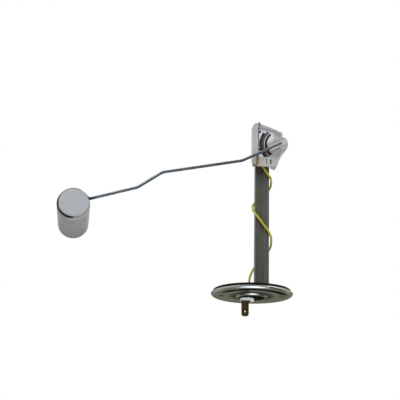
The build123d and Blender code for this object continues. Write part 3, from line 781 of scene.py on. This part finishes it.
dress(rotorSurface(rotorLook), "rotor")
dress(wiperSurface(wiperLook), "wiper_spring")
dress(contactSurface(contactLook), "wiper_contacts")

# Wire arm
wireLook = {
    "steel": rgb(0.140, 0.168, 0.186),
    "dull": rgb(0.082, 0.100, 0.114),
    "dullFrom": (0.35, 0.65),
    "paintedLoopShade": rgb(0.014, 0.015, 0.017),
    "loopShadeX": (-134, -142),  # painted shade: the wire is painted dark towards the float, where it lies in the float's groove
    "cloud": {"size": 5, "detail": 3},
    "cloudShare": 0.6,
    "drawn": {"size": 0.5, "detail": 2, "stretch": (60, 1, 9)},
    "drawnShare": 0.4,
    "roughness": (0.24, 0.49),
    "bumpDepth": 0.01,
}


def wireSurface(look):
    paint = Surface("drawnWire", Metallic=0.8)
    cloud = paint.grain(**look["cloud"])
    drawn = paint.grain(**look["drawn"])
    uneven = cloud * look["cloudShare"] + drawn * look["drawnShare"]
    color = paint.mix(paint.ease(uneven, *look["dullFrom"]), look["steel"], look["dull"])
    # painted shade on the wire towards the float
    color = paint.mix(paint.ease(paint.along("X"), *look["loopShadeX"]), color, look["paintedLoopShade"])
    return paint.finish(
        Base_Color=color,
        Roughness=between(drawn, look["roughness"]),
        Normal=paint.bump(drawn, look["bumpDepth"]),
    )


dress(wireSurface(wireLook), "float_arm", "pin_washer")

# Float, whose places are measured from the centre of its cap
capCentre = (-154.9, -17.0, 67.4)
floatTilt = math.radians(9.5)  # of its axis, below +Y
floatAxis = (0, math.cos(floatTilt), -math.sin(floatTilt))
lowRight = (0.75, 0, -0.66)  # unit vectors, as seen from the front
highLeft = (-0.60, 0, 0.80)
floatLook = {
    "body": rgb(0.335, 0.335, 0.322),
    "shade": rgb(0.285, 0.285, 0.275),
    "shadeFrom": (0.35, 0.75),
    "shadeShare": 0.6,
    # painted shade: the body is painted darker towards its far end
    "far": rgb(0.22, 0.22, 0.205),
    "farDepths": (14, 50),
    "farShare": 0.75,
    # painted glow in the groove where it holds no wire, standing in for light through its thin wall
    "glow": rgb(0.105, 0.105, 0.100),
    "glowDepths": (4.6, 3.4),
    "glowReach": (5, 8),
    "cloud": {"size": 9, "detail": 3},
    "fine": {"size": 0.4},
    "roughness": (0.36, 0.51),
    "bumpDepth": 0.015,
}
capLook = {
    "cap": rgb(0.415, 0.445, 0.480),
    "shade": rgb(0.385, 0.415, 0.445),
    "shadeFrom": (0.35, 0.75),
    # dark round the edge at the upper left, beside the wire
    "edge": rgb(0.010, 0.012, 0.014),
    "edgeRadii": (11.9, 12.3),
    "edgeReach": (3, 7),
    # painted glow round the cap's edge, where the groove holds no wire
    "glow": rgb(0.105, 0.105, 0.100),
    "glowRadii": (12.2, 12.8),
    "glowReach": (5, 8),
    "cloud": {"size": 7, "detail": 3},
    "fine": {"size": 0.4},
    "roughness": (0.34, 0.49),
    "bumpDepth": 0.012,
}
unlit = rgb(0, 0, 0)


def floatSurface(look):
    paint = Surface("floatPlastic", Specular_IOR_Level=0.45, Emission_Strength=1.0)
    depth = paint.reach(capCentre, floatAxis)
    cloud = paint.grain(**look["cloud"])
    shade = paint.ease(cloud, *look["shadeFrom"]) * look["shadeShare"]
    color = paint.mix(shade, look["body"], look["shade"])
    # painted shade towards the far end
    color = paint.mix(paint.ease(depth, *look["farDepths"]) * look["farShare"], color, look["far"])
    # painted glow in the groove where it holds no wire
    paintedGlow = paint.ease(depth, *look["glowDepths"])
    paintedGlow = paintedGlow * paint.ease(paint.reach(capCentre, lowRight), *look["glowReach"])
    return paint.finish(
        Base_Color=color,
        Emission_Color=paint.mix(paintedGlow, unlit, look["glow"]),
        Roughness=between(cloud, look["roughness"]),
        Normal=paint.bump(paint.grain(**look["fine"]), look["bumpDepth"]),
    )


def capSurface(look):
    paint = Surface("floatCapPlastic", Specular_IOR_Level=0.45, Emission_Strength=1.0)
    radius = paint.fromLine(capCentre, floatAxis)
    cloud = paint.grain(**look["cloud"])
    color = paint.mix(paint.ease(cloud, *look["shadeFrom"]), look["cap"], look["shade"])
    edge = paint.ease(radius, *look["edgeRadii"])
    edge = edge * paint.ease(paint.reach(capCentre, highLeft), *look["edgeReach"])
    color = paint.mix(edge, color, look["edge"])
    # painted glow round the cap's edge
    paintedGlow = paint.ease(radius, *look["glowRadii"])
    paintedGlow = paintedGlow * paint.ease(paint.reach(capCentre, lowRight), *look["glowReach"])
    return paint.finish(
        Base_Color=color,
        Emission_Color=paint.mix(paintedGlow, unlit, look["glow"]),
        Roughness=between(cloud, look["roughness"]),
        Normal=paint.bump(paint.grain(**look["fine"]), look["bumpDepth"]),
    )


dress(floatSurface(floatLook), "float_body")
dress(capSurface(capLook), "float_cap")
print("arm and float finished,", len(bpy.data.materials), "materials in all")
